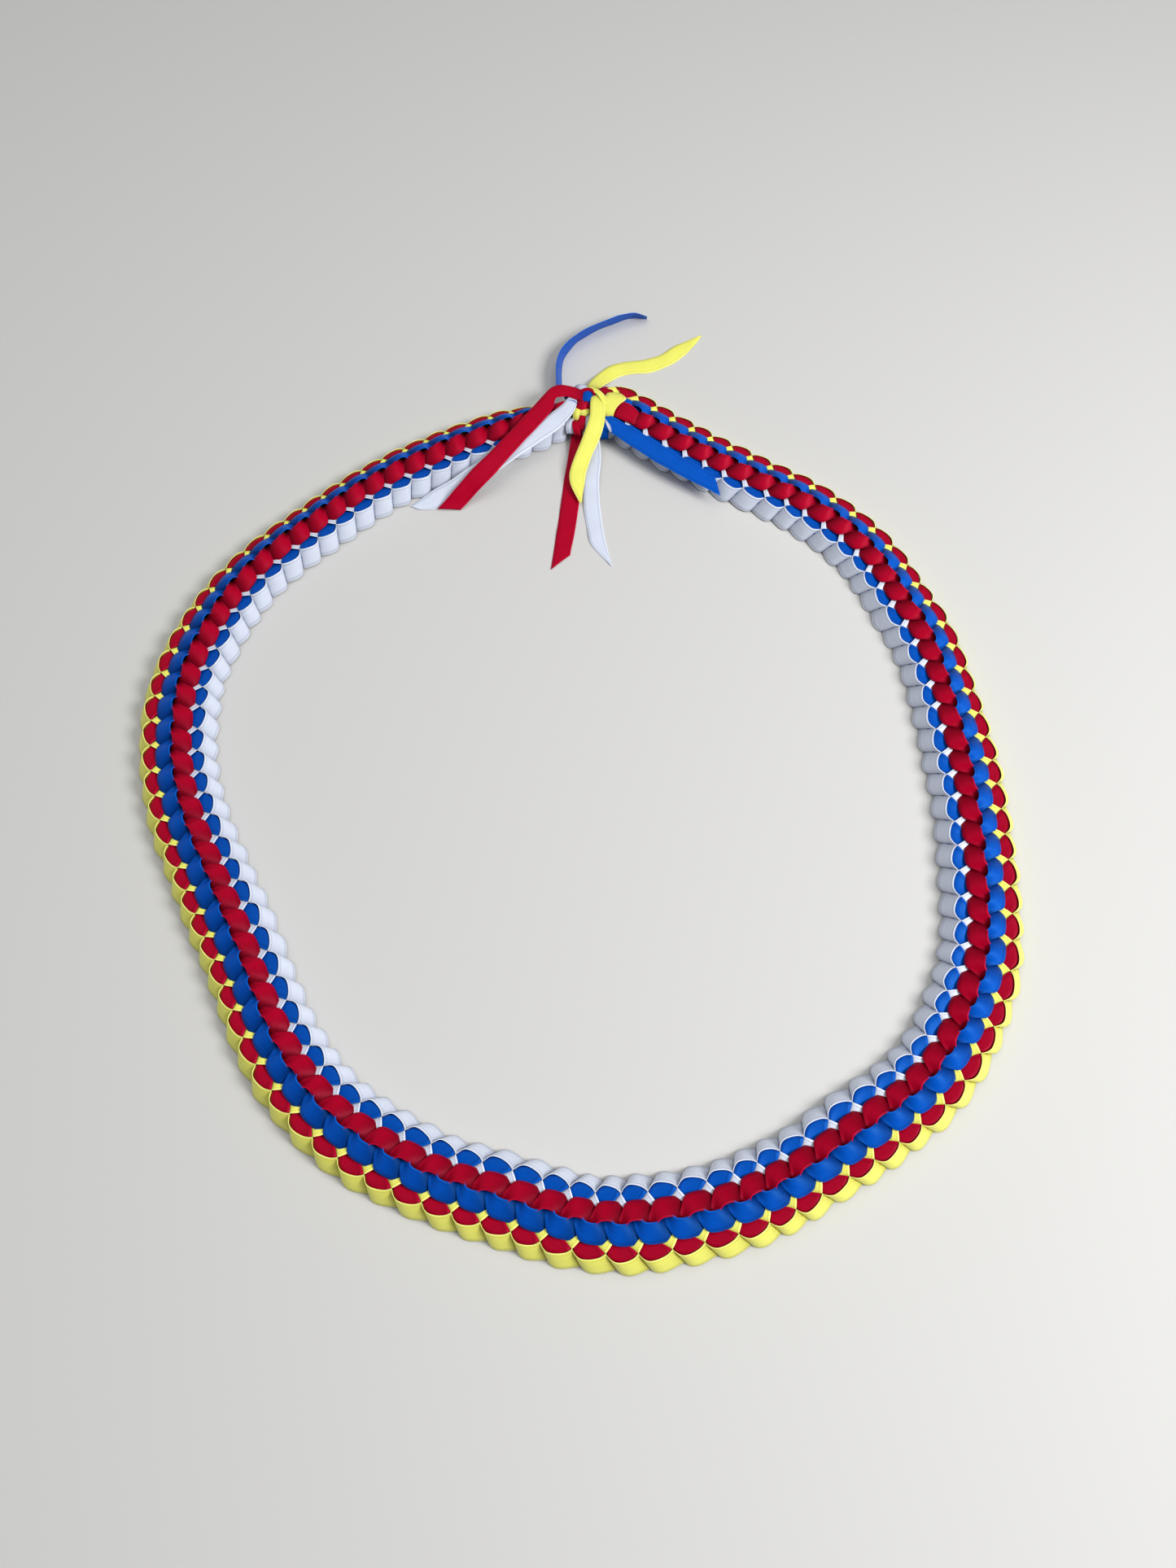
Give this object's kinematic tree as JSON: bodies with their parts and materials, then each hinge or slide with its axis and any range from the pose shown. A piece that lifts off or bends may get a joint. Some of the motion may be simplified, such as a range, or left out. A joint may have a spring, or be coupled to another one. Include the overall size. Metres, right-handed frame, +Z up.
{
  "type": "braided ribbon lei",
  "caption": "Lei braided from satin ribbons into a flat band with standing loops along both edges, tied into a ring with free ribbon ends.",
  "frame": {"origin": "middle of the bounds, on the surface that the lei lies on", "axes": "+Z up out of the surface, +Y from the near side of the ring to the knot and the free ends"},
  "size_m": [0.413, 0.5064, 0.0141],
  "materials": {
    "satin_white": "satin",
    "satin_blue": "satin",
    "satin_red": "satin",
    "satin_yellow": "satin"
  },
  "bodies": {
    "root": {"ribbon_white": "satin_white", "ribbon_blue": "satin_blue", "ribbon_red": "satin_red", "ribbon_yellow": "satin_yellow", "knot": "satin_blue", "left_red_tail": "satin_red", "left_white_tail": "satin_white", "front_yellow_tail": "satin_yellow", "front_red_tail": "satin_red", "front_white_tail": "satin_white", "right_blue_tail": "satin_blue", "back_yellow_tail": "satin_yellow", "back_blue_tail": "satin_blue"}
  },
  "joints": []
}
